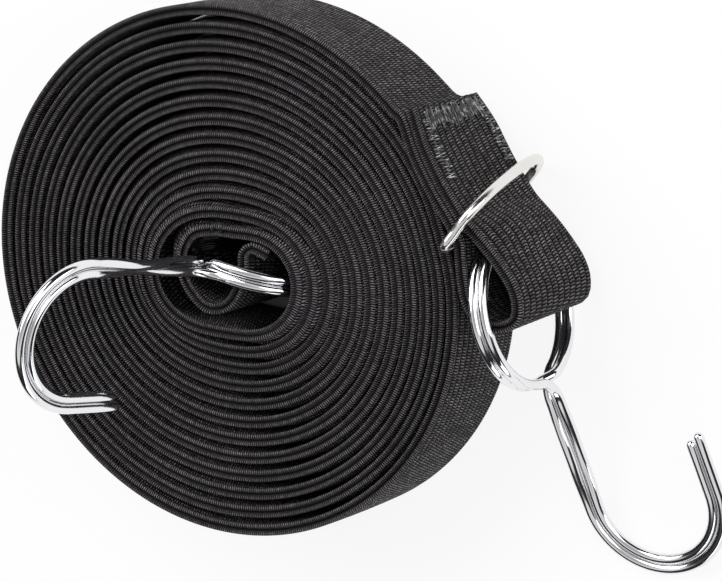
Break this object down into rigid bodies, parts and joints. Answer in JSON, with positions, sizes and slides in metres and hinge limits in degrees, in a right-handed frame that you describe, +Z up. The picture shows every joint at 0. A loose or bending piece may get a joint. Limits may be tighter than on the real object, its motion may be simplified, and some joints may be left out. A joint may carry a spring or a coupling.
{
  "type": "flat elastic bungee cord",
  "caption": "Flat woven elastic bungee cord wound into a roll on its side, with a double-wire hook sewn into each end and a wire keeper ring round the outer end.",
  "frame": {"origin": "under the middle of the whole object, level with the lower selvage of the roll", "axes": "+Z up along the roll's axis, +X from the roll towards the outer hook's side, the longest way across; +Y completes the right-handed frame"},
  "size_m": [0.2112, 0.1658, 0.1022],
  "materials": {
    "webbing": "ribbed black weave, matt",
    "hook_wire": "bright chrome plate",
    "ring_wire": "bright nickel plate",
    "thread": "black thread with a slight shine"
  },
  "bodies": {
    "strap": {"webbing_roll": "webbing", "webbing_inner_loop": "webbing", "webbing_tail": "webbing", "outer_stitching": "thread", "inner_stitching": "thread"},
    "outer_hook": {"outer_hook": "hook_wire"},
    "inner_hook": {"inner_hook": "hook_wire"},
    "keeper": {"keeper_ring": "ring_wire"}
  },
  "joints": [
    {"name": "outer_hook_swing", "type": "hinge", "parent": "strap", "child": "outer_hook", "pos_m": [0.05325, -0.00533, 0.0231], "axis": [-0.9829, -0.1381, -0.1219], "range_deg": [0, 80]},
    {"name": "inner_hook_swing", "type": "hinge", "parent": "strap", "child": "inner_hook", "pos_m": [-0.02645, 0.00747, 0.0231], "axis": [0.2924, 0.9563, 0], "range_deg": [-5, 45]},
    {"name": "keeper_tilt", "type": "hinge", "parent": "strap", "child": "keeper", "pos_m": [0.04084, 0.018, 0.0231], "axis": [-0.0276, -0.1946, 0.9805], "range_deg": [-8, 15]}
  ]
}
